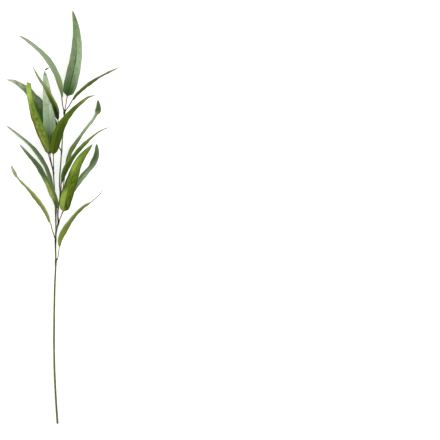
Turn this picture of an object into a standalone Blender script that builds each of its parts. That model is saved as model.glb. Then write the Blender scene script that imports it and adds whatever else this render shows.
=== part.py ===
# A cut olive branch lying on a table: one forked stem and sixteen long leaves.
# X runs across the branch, +Y from the cut end to the top, +Z up. The table is z = 0.
# Control points are millimetres. MM turns them into metres where a mesh is made.

import math
from collections import namedtuple

import bmesh
import bpy
import numpy as np

MM = 0.001
# How finely a smooth curve through control points is laid out
POINTS_PER_CONTROL = 24
# Length over which a curve's direction is measured, each way
DIRECTION_REACH = 0.5
# Angle between faces above which an edge stays sharp
SHARP_ANGLE = math.radians(50)

# Gap left between a leaf stalk and the stub that it grows from
JOINT_GAP = 0.3

# Stem
STEM_SIDES = 8
CUT_END_RADIUS = 2.05
FORK_RADIUS = 1.62
TOP_RADIUS = 1.15
TWIG_START_RADIUS = 1.4
TWIG_END_RADIUS = 1.2
STEM_STEP = 12.0
TWIG_STEP = 9.0
# Where the main stem forks, along Y
FORK_Y = -27
# The cut end's part lies level on the table; from LIFT_START on the stem rises to the top,
# over a bend of BEND_LENGTH, at a steady slope.
LIFT_START = -296.0
BEND_LENGTH = 150.0
RISE = 0.0693
# Points of the main stem in plan: across, along
MAIN_STEM = [
    (-11.4, -400.4),
    (-13.3, -374),
    (-15.4, -339),
    (-17.4, -296),
    (-18.3, -248),
    (-17.9, -190),
    (-16.6, -130),
    (-14.8, -87),
    (-15.2, -45),
    (-14.0, -27),
    (-11.2, -17),
    (-9.4, -10),
    (-10.7, -2),
    (-10.9, 8),
    (-10.0, 17),
    (-7.8, 30),
    (-5.7, 43),
    (-7.2, 58),
    (-7.1, 79),
    (-5.5, 101),
    (-3.6, 127),
    (-2.4, 143),
    (-1.0, 163),
    (0.5, 182),
    (1.9, 203),
    (2.0, 206),
]
# The long twig that leaves the main stem at its lower fork
LEFT_TWIG = [
    (-14.6, -33),
    (-14.6, -13),
    (-15.2, 6),
    (-16.0, 25),
    (-17.1, 50),
    (-18.5, 70),
    (-19.3, 86),
    (-19.4, 88),
]
# Swellings where leaves or twigs join: place along Y, added radius
MAIN_JOINTS = [(-87, 0.5), (-45, 0.4), (-27, 0.4), (-10, 0.5), (43, 0.9), (127, 0.5), (203, 1.2)]
TWIG_JOINTS = [(-6, 0.3), (8, 0.3), (86, 0.6)]
JOINT_SPREAD = 4.5
# A joint has a ring of its own and one this far before and after it. The stem's plain rings
# keep a clearance from them.
JOINT_RING_REACH = 4.0
JOINT_RING_CLEARANCE = 3.0

# Leaf stalks and the stubs on the stem that carry them
STALK_RADIUS = 0.8
STUB_ROOT_RADIUS = 1.2
STUB_END_RADIUS = 1.0
STUB_SIDES = 6
STALK_STEPS = 4

# Blades
BLADE_STEPS = 16
BLADE_COLUMNS = (-1.0, -0.5, 0.0, 0.5, 1.0)
BLADE_THICKNESS = 0.85
EDGE_THINNING = 0.2
MIDRIB_DEPTH = 0.4
TIP_HALF_WIDTH = 0.45
# Share of the blade over which the round stalk spreads into it
SPREAD_SHARE = 0.05
# The blade's edges rise from the midrib by this power of the distance from it
CUP_POWER = 1.3
# Low waves along both edges, out of step with each other and from leaf to leaf
EDGE_WAVE = 0.6
WAVES_PER_BLADE = 2.6
RIGHT_EDGE_PHASE = 0.3
NEXT_LEAF_PHASE = 0.37
# How strongly the rings of a blade crowd towards its base and tip
RING_CROWDING = 0.55

# A leaf: its stub's length, blade half width, the share of the blade at which it is widest,
# how it narrows from there to its base and to its tip (smaller is fuller), cup (edge lift as a
# share of the half width), twist as (share of the blade, degrees, where positive lifts the right
# edge), the index of the spine point where the blade starts, and the spine itself from the stem
# to the tip.
Leaf = namedtuple(
    "Leaf", "name shows stub half_width widest base_taper tip_taper cup twist base spine")

LEAVES = [
    Leaf("leaf_top_left", "underside", 5, 9.4, 0.31, 0.6, 0.4, -0.15,
         [(0, 74), (0.25, 52), (1, 55)], 2,
         [(1.9, 203, 27.2), (-1.4, 216.5, 30), (-2.6, 227.5, 32), (-5.9, 249.4, 34),
          (-12.6, 271.3, 35.5), (-23.6, 293.9, 36), (-38.2, 312.4, 35), (-57, 330.6, 32),
          (-72.4, 342.2, 29), (-84.5, 350, 26)]),
    Leaf("leaf_top_upright", "underside", 5, 13.2, 0.22, 0.7, 0.58, -0.12,
         [(0, -5), (0.5, -8), (1, -15)], 2,
         [(1.9, 203, 27.2), (4.6, 217, 27.4), (7.2, 232.3, 27.5), (13.1, 254.5, 27.5),
          (19, 279.2, 26.5), (24.6, 309.4, 24.5), (26.2, 340.5, 22), (24, 371.4, 18),
          (20.7, 387.3, 15), (17.7, 400, 12)]),
    Leaf("leaf_top_right", "upper side", 5, 8.6, 0.22, 0.6, 0.52, 0.2,
         [(0, -76), (0.25, -67), (1, -71)], 2,
         [(1.9, 203, 27.2), (11, 215, 28.5), (15.8, 223.3, 29), (21, 233.5, 29),
          (40.5, 252.1, 27), (60.8, 267.1, 21.5), (77, 275.9, 15), (90.5, 282.6, 8.5),
          (111.2, 291.6, 0.7)]),
    Leaf("leaf_upper_left_narrow", "upper side", 5, 10, 0.28, 0.6, 0.5, 0.2,
         [(0, 62), (0.2, 55), (0.5, 63), (1, 72)], 2,
         [(-0.7, 166, 25), (-6.5, 172, 27.5), (-10.2, 186, 29.5), (-11, 197, 31),
          (-14.3, 213.5, 32), (-22.7, 232, 31.5), (-30.6, 247, 30), (-40.6, 261.3, 28),
          (-50, 275.6, 25.5), (-60, 293.2, 22.5)]),
    Leaf("leaf_upper_pale_curled", "underside", 4, 12.3, 0.3, 0.75, 0.75, -0.12,
         [(0, 0), (0.86, 0), (0.92, 70), (0.96, 150), (1, 160)], 2,
         [(-19.3, 86, 19.3), (-20.8, 94, 15.5), (-26, 120.2, 16), (-26.7, 149.2, 17.5),
          (-27.5, 188.2, 18), (-30.5, 227.2, 17.5), (-33, 254.2, 16.5), (-35.3, 272.3, 16),
          (-36.3, 281.9, 17), (-33, 286.4, 18.5), (-26.3, 290, 20)]),
    Leaf("leaf_upper_left_back", "underside", 7, 14.8, 0.35, 0.6, 0.87, -0.1,
         [(0, 5), (0.5, 10), (0.66, 40), (0.8, 40), (1, 30)], 2,
         [(-3.6, 127, 22), (-8.6, 136, 18), (-12.2, 145, 13), (-18, 163, 9),
          (-28.5, 184, 7.8), (-40, 203.5, 7.4), (-50.5, 217, 7.8), (-59.5, 229, 9),
          (-67, 241.5, 9.6), (-80.6, 252.8, 7.7), (-95.2, 262.1, 5), (-111.6, 266.6, 0.8)]),
    Leaf("leaf_upper_left_front", "upper side", 14, 11, 0.36, 0.85, 0.42, 0.25,
         [(0, -20), (0.3, -35), (0.5, -42), (0.66, -56), (0.82, -42), (1, -15)], 3,
         [(-19.3, 86, 20), (-23.1, 100.7, 22), (-26.5, 112, 24), (-28.9, 121, 26),
          (-33.9, 139.8, 30), (-45.5, 166.6, 35), (-55.2, 190.2, 38), (-62.7, 213.4, 40),
          (-66.3, 234.6, 40.5), (-67.2, 249.7, 39), (-67.2, 257.2, 35.5), (-67.2, 260.2, 28)]),
    Leaf("leaf_upper_right_front", "upper side", 13, 10.7, 0.28, 0.8, 0.6, 0.25,
         [(0, -20), (0.3, -28), (0.55, -53), (1, -60)], 3,
         [(-19.3, 86, 20), (-19, 99, 23), (-19.4, 111, 26), (-19.5, 119.8, 29),
          (-16.6, 142.2, 34.5), (-9.7, 166.1, 39), (1.2, 188.5, 42), (18.1, 208.9, 43),
          (36.1, 223.9, 41), (47.1, 232.1, 39), (62.6, 236.2, 36)]),
    Leaf("leaf_mid_right_twisted", "underside", 7, 11, 0.4, 0.6, 0.52, -0.15,
         [(0, -66), (0.3, -70), (0.74, -76), (0.82, -70), (0.89, -8), (1, 10)], 2,
         [(-5.7, 43, 17), (-1.6, 53, 15.8), (1.9, 75.5, 16), (7.7, 102.3, 16),
          (15.8, 127.1, 15.5), (28.9, 148.1, 15), (43, 167.6, 14), (59.7, 189.9, 12),
          (67.5, 209, 9.5), (66.6, 226.8, 7)]),
    Leaf("leaf_mid_right_narrow", "upper side", 9, 10, 0.3, 0.7, 0.5, 0.2,
         [(0, -72), (0.2, -58), (0.5, -66), (1, -75)], 2,
         [(-5.7, 43, 17.5), (-4.5, 54, 22.5), (-4.4, 61.2, 26), (0.5, 87.2, 31),
          (11.6, 109, 33), (27.7, 129.4, 33.5), (43.7, 146.5, 32.5), (59.9, 160, 31),
          (75.5, 169.5, 29), (90.2, 174.4, 27)]),
    Leaf("leaf_mid_right_front", "upper side", 5, 12.6, 0.3, 0.6, 0.62, 0.25,
         [(0, -15), (0.4, -25), (1, -20)], 2,
         [(-9.4, -10, 15.6), (-5.9, -1.5, 20.5), (-0.9, 9.6, 26), (5.2, 37.4, 34),
          (15.3, 71, 40), (26.9, 102.4, 43), (40, 122.4, 44), (48.5, 132, 43.3),
          (56.7, 141.1, 41.5)]),
    Leaf("leaf_mid_right_back", "underside", 5, 9, 0.35, 0.7, 0.45, -0.12,
         [(0, 66), (0.3, 58), (0.62, 52), (0.8, 12), (1, 0)], 2,
         [(-9.4, -10, 15.6), (-3.8, 4.2, 14.5), (2.2, 20.5, 14.8), (13, 44.6, 14.5),
          (26.9, 65.4, 13.5), (41.1, 84.8, 13), (55.7, 102, 12), (63.9, 121, 10),
          (64.3, 141.5, 7.5)]),
    Leaf("leaf_mid_left_back", "underside", 8, 8, 0.3, 0.7, 0.4, -0.12,
         [(0, -70), (0.3, -59), (1, -61)], 2,
         [(-15.2, 7, 14.4), (-16.2, 19, 10.6), (-17, 31, 9.9), (-20.6, 52, 9.8),
          (-25.1, 73.5, 9.8), (-34.6, 100.7, 9.6), (-49.3, 123.1, 9), (-67.4, 143.3, 7.5),
          (-88.6, 161, 5.5), (-110, 177, 3.6)]),
    Leaf("leaf_mid_left_front", "upper side", 7, 9.9, 0.3, 0.7, 0.5, 0.2,
         [(0, 55), (0.2, 50), (0.4, 55), (1, 52)], 2,
         [(-14.7, -6, 15.7), (-14, 6, 20.5), (-13.1, 14.6, 24), (-13.1, 27.3, 28),
          (-22.7, 52.5, 31.5), (-33.7, 75.4, 31), (-46.1, 96.6, 29), (-59, 112.4, 26.5),
          (-71.6, 126.4, 23), (-85.2, 141.2, 19)]),
    Leaf("leaf_low_left", "upper side", 8, 9, 0.25, 0.6, 0.5, 0.2,
         [(0, 72), (0.3, 61), (0.7, 66), (0.8, 74), (0.9, 30), (1, 25)], 3,
         [(-15.2, -45, 12), (-18.7, -34, 13.5), (-22.2, -23.5, 14), (-24.4, -13.8, 14),
          (-30.6, 4.7, 13.5), (-43, 26, 12.3), (-57.5, 43.7, 11), (-72.9, 60.9, 9.5),
          (-85.6, 73.9, 8), (-94.2, 85.3, 6.5), (-101.2, 100.2, 5)]),
    Leaf("leaf_low_right", "upper side", 8, 9.5, 0.28, 0.75, 0.55, 0.2,
         [(0, -66), (0.25, -52), (0.5, -70), (0.68, -64), (0.8, -84), (1, -80)], 3,
         [(-14.8, -87, 9), (-11.5, -80.4, 12), (-9.6, -70, 13.5), (-8.4, -61.5, 14.5),
          (-8.1, -44.5, 15.2), (0.6, -24.9, 15), (12.8, -6.8, 14), (26.1, 10.2, 12.5),
          (38.5, 21.2, 11), (51.8, 29, 9.5), (67.8, 42.2, 8), (78, 55.8, 6.5)]),
]


def new_material(name, colour, roughness):
    material = bpy.data.materials.new(name)
    material.use_nodes = True
    shader = material.node_tree.nodes["Principled BSDF"]
    shader.inputs["Base Color"].default_value = (*colour, 1)
    shader.inputs["Roughness"].default_value = roughness
    shader.inputs["Metallic"].default_value = 0
    return material


def hermite(knots, values, at):
    """A smooth curve through the values, read at the given places."""
    knots = np.asarray(knots, float)
    values = np.asarray(values, float)
    at = np.clip(np.atleast_1d(at), knots[0], knots[-1])
    slopes = np.gradient(values, knots, axis=0)
    left = np.clip(np.searchsorted(knots, at, side="right") - 1, 0, len(knots) - 2)
    span = knots[left + 1] - knots[left]
    share = (at - knots[left]) / span
    if values.ndim == 2:
        span = span[:, None]
        share = share[:, None]
    start_weight = (1 + 2 * share) * (1 - share) ** 2
    end_weight = share ** 2 * (3 - 2 * share)
    start_pull = share * (1 - share) ** 2 * span
    end_pull = share ** 2 * (share - 1) * span
    return (start_weight * values[left] + end_weight * values[left + 1]
            + start_pull * slopes[left] + end_pull * slopes[left + 1])


def smooth_points(controls):
    """Closely spaced points of a smooth curve through the control points."""
    controls = np.asarray(controls, float)
    chords = np.linalg.norm(np.diff(controls, axis=0), axis=1)
    knots = np.concatenate([[0], np.cumsum(chords)])
    return hermite(knots, controls, np.linspace(0, knots[-1], POINTS_PER_CONTROL * len(controls)))


class Route:
    """A curve given by closely spaced points, read by the distance along it."""

    def __init__(self, points):
        self.points = points
        steps = np.linalg.norm(np.diff(points, axis=0), axis=1)
        self.lengths = np.concatenate([[0], np.cumsum(steps)])
        self.length = self.lengths[-1]

    def nearest(self, place):
        """The distance along the curve at which it passes the place."""
        return self.lengths[np.argmin(np.linalg.norm(self.points - place, axis=1))]

    def point(self, distance):
        return np.array([np.interp(distance, self.lengths, axis) for axis in self.points.T])

    def direction(self, distance):
        ahead = self.point(min(distance + DIRECTION_REACH, self.length))
        behind = self.point(max(distance - DIRECTION_REACH, 0))
        return (ahead - behind) / np.linalg.norm(ahead - behind)

    def frame(self, distance):
        """Side and up vectors across the curve: side is level, up leans with the slope."""
        ahead = self.direction(distance)
        side = np.cross(ahead, (0, 0, 1))
        side /= np.linalg.norm(side)
        return side, np.cross(side, ahead)


def skin(rings, diagonals, close_start, close_end):
    """A closed mesh over rings of equal size. diagonals picks how each side face is split."""
    mesh = bmesh.new()
    rows = [[mesh.verts.new(np.asarray(point) * MM) for point in ring] for ring in rings]
    count = len(rings[0])
    for row, following in zip(rows, rows[1:]):
        for i in range(count):
            j = (i + 1) % count
            if diagonals[i]:
                mesh.faces.new((row[i], row[j], following[i]))
                mesh.faces.new((row[j], following[j], following[i]))
            else:
                mesh.faces.new((row[i], row[j], following[j]))
                mesh.faces.new((row[i], following[j], following[i]))
    for corners in close_start:
        mesh.faces.new([rows[0][i] for i in reversed(corners)])
    for corners in close_end:
        mesh.faces.new([rows[-1][i] for i in corners])
    return mesh


def object_of(name, mesh, materials):
    data = bpy.data.meshes.new(name)
    bmesh.ops.recalc_face_normals(mesh, faces=mesh.faces)
    mesh.to_mesh(data)
    mesh.free()
    for material in materials:
        data.materials.append(material)
    made = bpy.data.objects.new(name, data)
    bpy.context.scene.collection.objects.link(made)
    return made


# The stem


def stem_ring(route, distance, radius, sides):
    """A ring whose lowest side is level, so that a level stem has a flat underside."""
    centre = route.point(distance)
    side, up = route.frame(distance)
    half_side = math.pi / sides
    angles = [2 * math.pi * i / sides + half_side - math.pi / 2 for i in range(sides)]
    return [centre + radius * (math.cos(a) * side + math.sin(a) * up) for a in angles]


def underside_height(y):
    beyond = max(y - LIFT_START, 0)
    return RISE * (math.hypot(beyond, BEND_LENGTH) - BEND_LENGTH)


def stem_route(plan, plain_radius):
    """The stem's axis over its points in plan, one radius above its underside."""
    flat_side = math.cos(math.pi / STEM_SIDES)
    points = [
        (x, y, underside_height(y) + plain_radius(y) * flat_side)
        for x, y in smooth_points(plan)
    ]
    return Route(np.array(points))


def swelling(y, joints):
    return sum(extra * math.exp(-((y - place) / JOINT_SPREAD) ** 2) for place, extra in joints)


def main_stem_radius(y):
    ends_y = (MAIN_STEM[0][1], FORK_Y, MAIN_STEM[-1][1])
    return float(np.interp(y, ends_y, (CUT_END_RADIUS, FORK_RADIUS, TOP_RADIUS)))


def left_twig_radius(y):
    ends_y = (LEFT_TWIG[0][1], LEFT_TWIG[-1][1])
    return float(np.interp(y, ends_y, (TWIG_START_RADIUS, TWIG_END_RADIUS)))


def tube(name, plan, plain_radius, step, joints):
    """One stem or twig: rings every step along it, and closer together at the joints."""
    route = stem_route(plan, plain_radius)
    places = list(np.linspace(0, route.length, round(route.length / step)))
    for joint_y, _ in joints:
        joint = float(np.interp(joint_y, route.points[:, 1], route.lengths))
        near = [joint - JOINT_RING_REACH, joint, joint + JOINT_RING_REACH]
        near = [place for place in near if 0 < place < route.length]
        places = [place for place in places
                  if all(abs(place - other) > JOINT_RING_CLEARANCE for other in near)] + near
    rings = []
    for distance in sorted(places):
        y = route.point(distance)[1]
        rings.append(stem_ring(route, distance, plain_radius(y) + swelling(y, joints), STEM_SIDES))
    cap = [tuple(range(STEM_SIDES))]
    mesh = skin(rings, [False] * STEM_SIDES, cap, cap)
    return object_of(name, mesh, [])


def stub(leaf):
    """The short piece of stem that a leaf's stalk grows from, along the leaf's own route."""
    route = Route(smooth_points(leaf.spine))
    rings = []
    for share in (0, 0.5, 1):
        radius = STUB_ROOT_RADIUS + (STUB_END_RADIUS - STUB_ROOT_RADIUS) * share
        rings.append(stem_ring(route, share * leaf.stub, radius, STUB_SIDES))
    cap = [tuple(range(STUB_SIDES))]
    return object_of("stub", skin(rings, [False] * STUB_SIDES, cap, cap), [])


def fused(name, pieces, material):
    """One solid from pieces that run into each other."""
    group = bpy.data.collections.new(name + "_pieces")
    bpy.context.scene.collection.children.link(group)
    first, *others = pieces
    for piece in others:
        bpy.context.scene.collection.objects.unlink(piece)
        group.objects.link(piece)
    union = first.modifiers.new("union", "BOOLEAN")
    union.operation = "UNION"
    union.operand_type = "COLLECTION"
    union.collection = group
    union.solver = "EXACT"
    graph = bpy.context.evaluated_depsgraph_get()
    data = bpy.data.meshes.new_from_object(first.evaluated_get(graph))
    for piece in pieces:
        bpy.data.objects.remove(piece)
    bpy.data.collections.remove(group)
    data.name = name
    data.materials.clear()
    data.materials.append(material)
    data.shade_smooth()
    data.set_sharp_from_angle(angle=SHARP_ANGLE)
    made = bpy.data.objects.new(name, data)
    bpy.context.scene.collection.objects.link(made)
    return made


def build_stem(material):
    pieces = [
        tube("main", MAIN_STEM, main_stem_radius, STEM_STEP, MAIN_JOINTS),
        tube("twig", LEFT_TWIG, left_twig_radius, TWIG_STEP, TWIG_JOINTS),
    ]
    pieces += [stub(leaf) for leaf in LEAVES]
    return fused("stem", pieces, material)


# The leaves


def blade_outline(leaf, share):
    """Half width of the blade as a share of its widest: rounded base, long taper to the tip."""
    if not 0 < share < 1:
        return 0.0
    taper = leaf.base_taper if share < leaf.widest else leaf.tip_taper
    place = share ** (math.log(0.5) / math.log(leaf.widest))
    return math.sin(math.pi * place) ** taper


def smoothstep(share):
    share = min(max(share, 0.0), 1.0)
    return share * share * (3 - 2 * share)


def twist_at(leaf, share):
    """The blade's twist in degrees, easing from each given value to the next."""
    for (start, start_twist), (end, end_twist) in zip(leaf.twist, leaf.twist[1:]):
        if share <= end:
            return start_twist + (end_twist - start_twist) * smoothstep((share - start) / (end - start))
    return leaf.twist[-1][1]


def stalk_section(radius):
    """Points of a round stalk, in the order of the blade's points: top, then underneath."""
    count = 2 * len(BLADE_COLUMNS)
    step = 2 * math.pi / count
    angles = [math.pi - step * (i + 0.5) for i in range(count)]
    return [(radius * math.cos(a), radius * math.sin(a)) for a in angles]


def blade_section(leaf, share, phase):
    """Points across the blade: its top from left to right, then underneath back again."""
    half_width = leaf.half_width * blade_outline(leaf, share)
    half_width = max(half_width, TIP_HALF_WIDTH)
    top = []
    under = []
    for column in BLADE_COLUMNS:
        lift = leaf.cup * half_width * abs(column) ** CUP_POWER
        turn = 2 * math.pi * (WAVES_PER_BLADE * share + phase + RIGHT_EDGE_PHASE * (column > 0))
        lift += EDGE_WAVE * math.sin(turn) * column ** 2 * math.sin(math.pi * share)
        thickness = BLADE_THICKNESS - EDGE_THINNING * abs(column)
        rib = MIDRIB_DEPTH * (column == 0) * (1 - share)
        faces_up = leaf.shows == "upper side"
        top.append((half_width * column, lift + thickness / 2 + (0 if faces_up else rib)))
        under.append((half_width * column, lift - thickness / 2 - (rib if faces_up else 0)))
    return top + under[::-1]


def leaf_section(leaf, share, phase):
    spread = smoothstep(share / SPREAD_SHARE)
    if spread == 0:
        return stalk_section(STALK_RADIUS)
    return [
        ((1 - spread) * stalk_x + spread * x, (1 - spread) * stalk_y + spread * y)
        for (stalk_x, stalk_y), (x, y)
        in zip(stalk_section(STALK_RADIUS), blade_section(leaf, share, phase))
    ]


def blade_shares():
    """Places along the blade, closer together towards its base and its tip."""
    plain = np.linspace(0, 1, BLADE_STEPS + 1)
    crowded = 0.5 - 0.5 * np.cos(math.pi * plain)
    return (1 - RING_CROWDING) * plain + RING_CROWDING * crowded


def leaf_rings(leaf, phase):
    route = Route(smooth_points(leaf.spine))
    blade_start = route.nearest(leaf.spine[leaf.base])
    blade_length = route.length - blade_start
    stalk = np.linspace(leaf.stub + JOINT_GAP, blade_start, STALK_STEPS + 1)[:-1]
    shares = [0.0] * STALK_STEPS + list(blade_shares())
    distances = list(stalk) + [blade_start + s * blade_length for s in shares[STALK_STEPS:]]
    rings = []
    for distance, share in zip(distances, shares):
        centre = route.point(distance)
        side, up = route.frame(distance)
        twist = math.radians(twist_at(leaf, share))
        across = math.cos(twist) * side + math.sin(twist) * up
        out = math.cos(twist) * up - math.sin(twist) * side
        rings.append([centre + a * across + b * out for a, b in leaf_section(leaf, share, phase)])
    return rings


def build_leaf(leaf, phase, upper, underside):
    rings = leaf_rings(leaf, phase)
    columns = len(BLADE_COLUMNS)
    last = 2 * columns - 1
    # A face on the top and the one below it are split along the same diagonal.
    diagonals = [i < columns - 1 for i in range(2 * columns)]
    cap = [(i, i + 1, last - i - 1, last - i) for i in range(columns - 1)]
    mesh = skin(rings, diagonals, cap, cap)
    made = object_of(leaf.name, mesh, [upper, underside])
    top_is_upper = leaf.shows == "upper side"
    for face in made.data.polygons:
        on_top = all((v % (2 * columns)) < columns for v in face.vertices)
        face.material_index = 0 if on_top == top_is_upper else 1
    made.data.shade_smooth()
    made.data.set_sharp_from_angle(angle=SHARP_ANGLE)
    return made


def clear_scene():
    for old in list(bpy.data.objects):
        bpy.data.objects.remove(old)


def build_branch():
    clear_scene()
    bark = new_material("bark", (0.12, 0.14, 0.05), 0.6)
    upper = new_material("leaf_upper_side", (0.13, 0.2, 0.03), 0.5)
    underside = new_material("leaf_underside", (0.27, 0.36, 0.24), 0.6)
    build_stem(bark)
    for number, leaf in enumerate(LEAVES):
        build_leaf(leaf, number * NEXT_LEAF_PHASE, upper, underside)


build_branch()
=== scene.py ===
import math
from collections import namedtuple

import bpy
import numpy as np
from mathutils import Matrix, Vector


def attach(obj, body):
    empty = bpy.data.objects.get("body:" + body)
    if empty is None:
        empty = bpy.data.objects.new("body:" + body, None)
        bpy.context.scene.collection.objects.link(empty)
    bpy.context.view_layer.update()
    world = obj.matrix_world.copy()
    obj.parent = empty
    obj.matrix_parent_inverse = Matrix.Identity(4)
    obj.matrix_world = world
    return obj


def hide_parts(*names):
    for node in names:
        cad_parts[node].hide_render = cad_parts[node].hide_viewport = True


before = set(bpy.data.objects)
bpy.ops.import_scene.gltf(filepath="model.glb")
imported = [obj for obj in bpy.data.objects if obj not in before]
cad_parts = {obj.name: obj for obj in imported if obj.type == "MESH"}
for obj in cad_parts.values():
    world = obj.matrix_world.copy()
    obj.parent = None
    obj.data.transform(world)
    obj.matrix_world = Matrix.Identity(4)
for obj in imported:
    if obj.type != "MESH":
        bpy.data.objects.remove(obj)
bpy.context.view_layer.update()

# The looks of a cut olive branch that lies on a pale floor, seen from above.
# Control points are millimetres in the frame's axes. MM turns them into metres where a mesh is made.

MM = 0.001

# How finely a smooth curve through control points is laid out
POINTS_PER_CONTROL = 40
# Length over which a curve's direction is measured, each way
DIRECTION_REACH = 1.0
# Angle between faces above which an edge stays sharp
SHARP_ANGLE = math.radians(55)

# Stem
CUT_END_RADIUS = 2.05
FORK_RADIUS = 1.62
TOP_RADIUS = 1.15
TWIG_START_RADIUS = 1.4
TWIG_END_RADIUS = 1.2
STEM_SIDES = 20
STEM_STEP = 2.0
# Axis height over the underside, as a share of the radius
AXIS_SHARE = math.cos(math.pi / 8)
FORK_Y = -27
LIFT_START = -296.0
BEND_LENGTH = 150.0
RISE = 0.0693
MAIN_STEM = [
    (-11.4, -400.4),
    (-13.3, -374),
    (-15.4, -339),
    (-17.4, -296),
    (-18.3, -248),
    (-17.9, -190),
    (-16.6, -130),
    (-14.8, -87),
    (-15.2, -45),
    (-14.0, -27),
    (-11.2, -17),
    (-9.4, -10),
    (-10.7, -2),
    (-10.9, 8),
    (-10.0, 17),
    (-7.8, 30),
    (-5.7, 43),
    (-7.2, 58),
    (-7.1, 79),
    (-5.5, 101),
    (-3.6, 127),
    (-2.4, 143),
    (-1.0, 163),
    (0.5, 182),
    (1.9, 203),
    (2.0, 206),
]
LEFT_TWIG = [
    (-14.6, -33),
    (-14.6, -13),
    (-15.2, 6),
    (-16.0, 25),
    (-17.1, 50),
    (-18.5, 70),
    (-19.3, 86),
    (-19.4, 88),
]
# Swellings where leaves or twigs join: place along Y, added radius, how dark it has grown
MAIN_JOINTS = [
    (-87, 0.5, 0.35), (-45, 0.4, 0.8), (-27, 0.4, 0.45), (-10, 0.5, 1), (43, 0.9, 0.4), (127, 0.5, 0.55),
    (203, 1.2, 1),
]
TWIG_JOINTS = [(-6, 0.3, 0.4), (8, 0.3, 0.4), (86, 0.6, 0.8)]
JOINT_SPREAD = 4.5
# A narrow raised collar just below each joint
COLLAR_HEIGHT = 0.22
COLLAR_SPREAD = 1.1
COLLAR_BELOW = 5.0
# Old leaf scars: rings round the bare stem, place along Y
SCARS = [-352, -268, -214, -149, -60]
SCAR_HEIGHT = 0.13
SCAR_SPREAD = 0.8
# Low lengthwise ribs round the stem and slow changes of its thickness
RIB_COUNT = 5
RIB_HEIGHT = 0.06
RIB_TURN_LENGTH = 60
UNEVEN = 0.05
UNEVEN_LENGTH = 13
UNEVEN_TURN_LENGTH = 29
# The stem's floor side lies this far above the floor
CLEAR_OF_FLOOR = 0.01
CUT_BEVEL = 0.35
# How far the dark stain of a joint spreads, and how far off the stem a stub turns dark
JOINT_STAIN_SPREAD = 6.5
STUB_STAIN_START = 0.4
STUB_STAIN_REACH = 1.6

# Stubs of the stem that carry the leaf stalks
STUB_ROOT_RADIUS = 1.2
STUB_END_RADIUS = 1.0
STUB_SIDES = 14
STUB_STEP = 0.6
STUB_FLARE = 0.5
STUB_FLARE_REACH = 2.2
KNOB_HEIGHT = 0.28
KNOB_SPREAD = 1.0

# Leaf stalks
STALK_RADIUS = 0.95
STALK_FOOT = 0.12
STALK_FOOT_REACH = 1.6
STALK_STEP = 1.0
# How far a stalk is sunk into its stub
STALK_SINK = 0.8

# Blades
BLADE_STATIONS = 170
COLUMN_COUNT = 27
COLUMN_CROWDING = 1.3
RING_CROWDING = 0.45
TIP_HALF_WIDTH = 0.28
SPREAD_SHARE = 0.05
CUP_POWER = 1.3
EDGE_WAVE = 0.6
WAVES_PER_BLADE = 2.6
RIGHT_EDGE_PHASE = 0.3
NEXT_LEAF_PHASE = 0.37
NEXT_LEAF_SEED = 1.7
# Smaller waves of the edges, in height and in outline
FINE_WAVE = 0.22
FINE_WAVES_PER_BLADE = 8.3
OUTLINE_WAVE = 0.018
OUTLINE_WAVES_PER_BLADE = 6.1
# Thickness at the edge and of the leaf's flesh, the ridge under the midrib and the groove over it
EDGE_THICKNESS = 0.22
FLESH_THICKNESS = 0.42
THINNING_POWER = 6
RIDGE_HEIGHT = 0.62
RIDGE_HALF_WIDTH = 0.75
RIDGE_TAPER_POWER = 0.8
RIDGE_WIDTH_AT_TIP = 0.3
GROOVE_DEPTH = 0.26
GROOVE_HALF_WIDTH = 0.55
# Side veins: distance between them, how far they run towards the tip for each mm from the midrib,
# how they bend towards the edge, and how much the blade puckers between them
VEIN_SPACING = 5.2
VEIN_SLANT = 0.75
VEIN_BEND = 0.6
RIGHT_VEIN_OFFSET = 0.42
VEIN_WANDER = 0.22
VEIN_WANDER_LENGTH = 31.0
PUCKER = 0.17

# A leaf: its stub's length, blade half width, the share of the blade at which it is widest,
# how it narrows from there to its base and to its tip (smaller is fuller), cup (edge lift as a
# share of the half width), twist as (share of the blade, degrees, where positive lifts the right
# edge), the index of the spine point where the blade starts, and the spine itself from the stem
# to the tip.
Leaf = namedtuple(
    "Leaf", "name shows stub half_width widest base_taper tip_taper cup twist base spine")

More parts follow.
